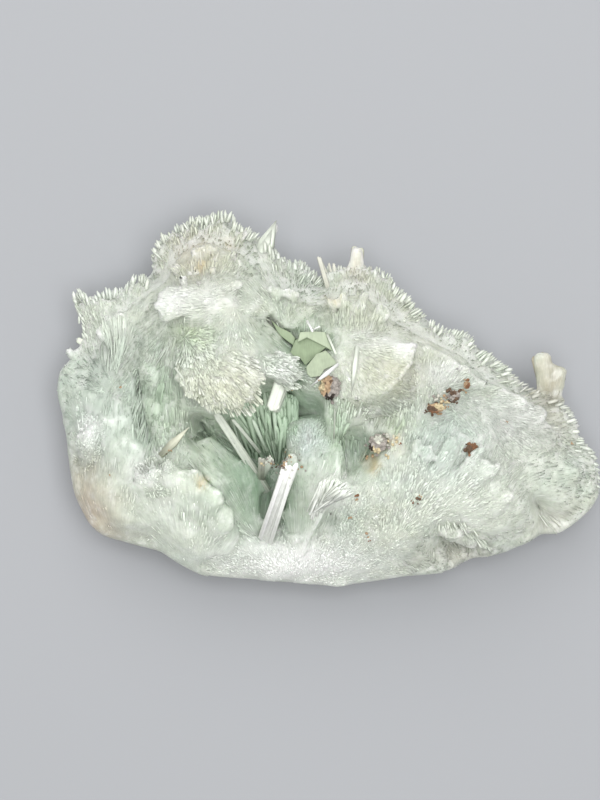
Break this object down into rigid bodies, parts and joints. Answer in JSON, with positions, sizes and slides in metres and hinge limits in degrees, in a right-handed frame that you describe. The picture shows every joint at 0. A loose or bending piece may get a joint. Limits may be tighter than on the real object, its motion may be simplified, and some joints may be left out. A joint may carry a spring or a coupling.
{
  "type": "aragonite specimen",
  "caption": "Rough hand specimen of pale green and white aragonite: needle sprays and blades grown round an open hollow, with brown mineral grains, resting on its broken back.",
  "frame": {"origin": "middle of the box round the specimen, on the plane of its flat broken back", "axes": "+X along the long side, to the right when the crystals are seen from the front; +Y up in that view; +Z out of the back, the way the crystals face"},
  "size_m": [0.0716, 0.049, 0.0262],
  "materials": {
    "aragonite": "pearly white and pale green fibres, slightly translucent",
    "nodule": "gritty, orange and grey",
    "pebble": "gritty grey with yellow stains",
    "ore": "gritty dark brown and grey",
    "rust": "gritty rust brown"
  },
  "bodies": {
    "root": {"aragonite_cluster": "aragonite", "brown_nodule": "nodule", "grey_pebble": "pebble", "ore_grain_lower": "ore", "ore_grain_middle": "ore", "ore_grain_upper": "ore", "rust_grain": "rust"}
  },
  "joints": []
}
